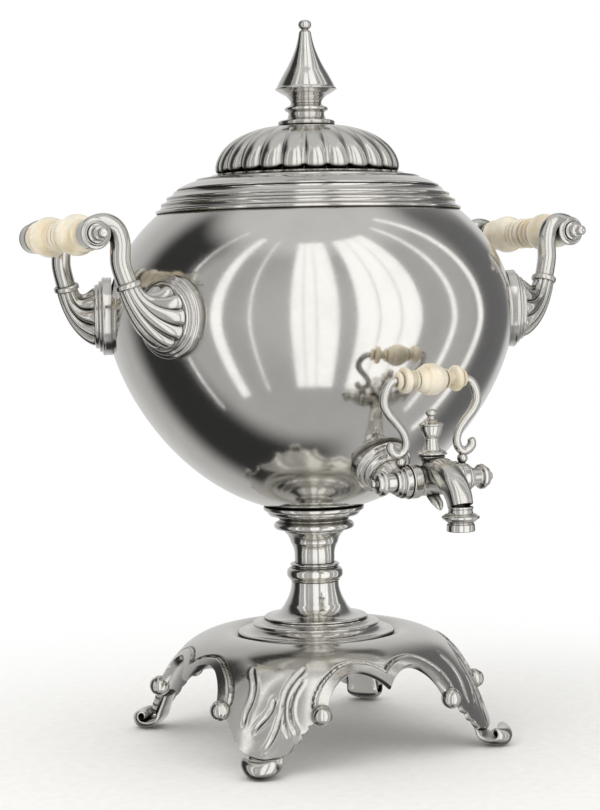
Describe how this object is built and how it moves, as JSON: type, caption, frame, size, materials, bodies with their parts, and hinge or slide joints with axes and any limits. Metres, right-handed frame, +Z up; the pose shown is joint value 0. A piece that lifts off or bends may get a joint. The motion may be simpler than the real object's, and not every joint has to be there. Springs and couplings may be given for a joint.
{
  "type": "samovar",
  "caption": "Silver-plated tea urn: globe bowl on a turned stem and scroll-footed base, lift-off gadrooned lid, two side grips and a spout tap turned by a bail key.",
  "frame": {"origin": "on the table, under the middle of the urn's overall length and width; the bowl's axis stands 27.3 mm from it along +Y", "axes": "+Z up along the bowl's axis; the tap faces -Y; the side handles stand at +X and -X"},
  "size_m": [0.3356, 0.297, 0.4301],
  "materials": {
    "silver_plate": "silver plate on sheet metal, polished bright",
    "cast_plate": "silver plate on a chased casting, polished, darker in its recesses",
    "brass": "turned, unplated",
    "iron": "rough cast, dark with heat",
    "ivory": "turned and polished, ivory coloured",
    "leather": "cut sealing ring, waxed"
  },
  "bodies": {
    "urn": {"base_casting": "cast_plate", "foot_moulding": "silver_plate", "lower_stem": "silver_plate", "stem_knop": "silver_plate", "upper_stem": "silver_plate", "bowl_cup": "silver_plate", "tie_rod": "brass", "base_washer": "brass", "base_nut": "brass", "bowl_lower": "silver_plate", "bowl_upper": "silver_plate", "rim_collar": "silver_plate", "bowl_boss": "brass", "heater_well": "brass", "heater_iron": "iron", "heater_cap": "brass", "handle_rose_left_front": "silver_plate", "handle_rose_left_back": "silver_plate", "handle_rose_right_front": "silver_plate", "handle_rose_right_back": "silver_plate", "handle_arm_left_front": "cast_plate", "handle_arm_left_back": "cast_plate", "handle_arm_right_front": "cast_plate", "handle_arm_right_back": "cast_plate", "handle_nut_left_front": "brass", "handle_nut_left_back": "brass", "handle_nut_right_front": "brass", "handle_nut_right_back": "brass", "grip_button_left_front": "silver_plate", "grip_button_left_back": "silver_plate", "grip_button_right_front": "silver_plate", "grip_button_right_back": "silver_plate", "grip_left": "ivory", "grip_right": "ivory", "grip_rod_left": "brass", "grip_rod_right": "brass", "tap_rose": "silver_plate", "tap_body": "cast_plate", "tap_nozzle": "silver_plate", "tap_finial": "silver_plate", "tap_gasket": "leather", "tap_locknut": "brass"},
    "lid": {"lid_flange": "silver_plate", "lid_skirt": "silver_plate", "lid_dome": "silver_plate", "finial_foot": "silver_plate", "finial_cone": "silver_plate", "finial_ball": "silver_plate", "finial_stud": "brass", "finial_washer": "brass", "finial_nut": "brass"},
    "tap_key": {"key_plug": "brass", "key_collar_left": "silver_plate", "key_collar_right": "silver_plate", "bail_arm_left": "cast_plate", "bail_arm_right": "cast_plate", "key_knob_left": "silver_plate", "key_knob_right": "silver_plate", "bail_grip": "ivory"}
  },
  "joints": [
    {"name": "lid_lift", "type": "slide", "parent": "urn", "child": "lid", "axis": [0, 0, 1], "range_m": [0, 0.14]},
    {"name": "tap_turn", "type": "hinge", "parent": "urn", "child": "tap_key", "pos_m": [0, -0.1097, 0.1663], "axis": [1, 0, 0], "range_deg": [0, 90]}
  ]
}
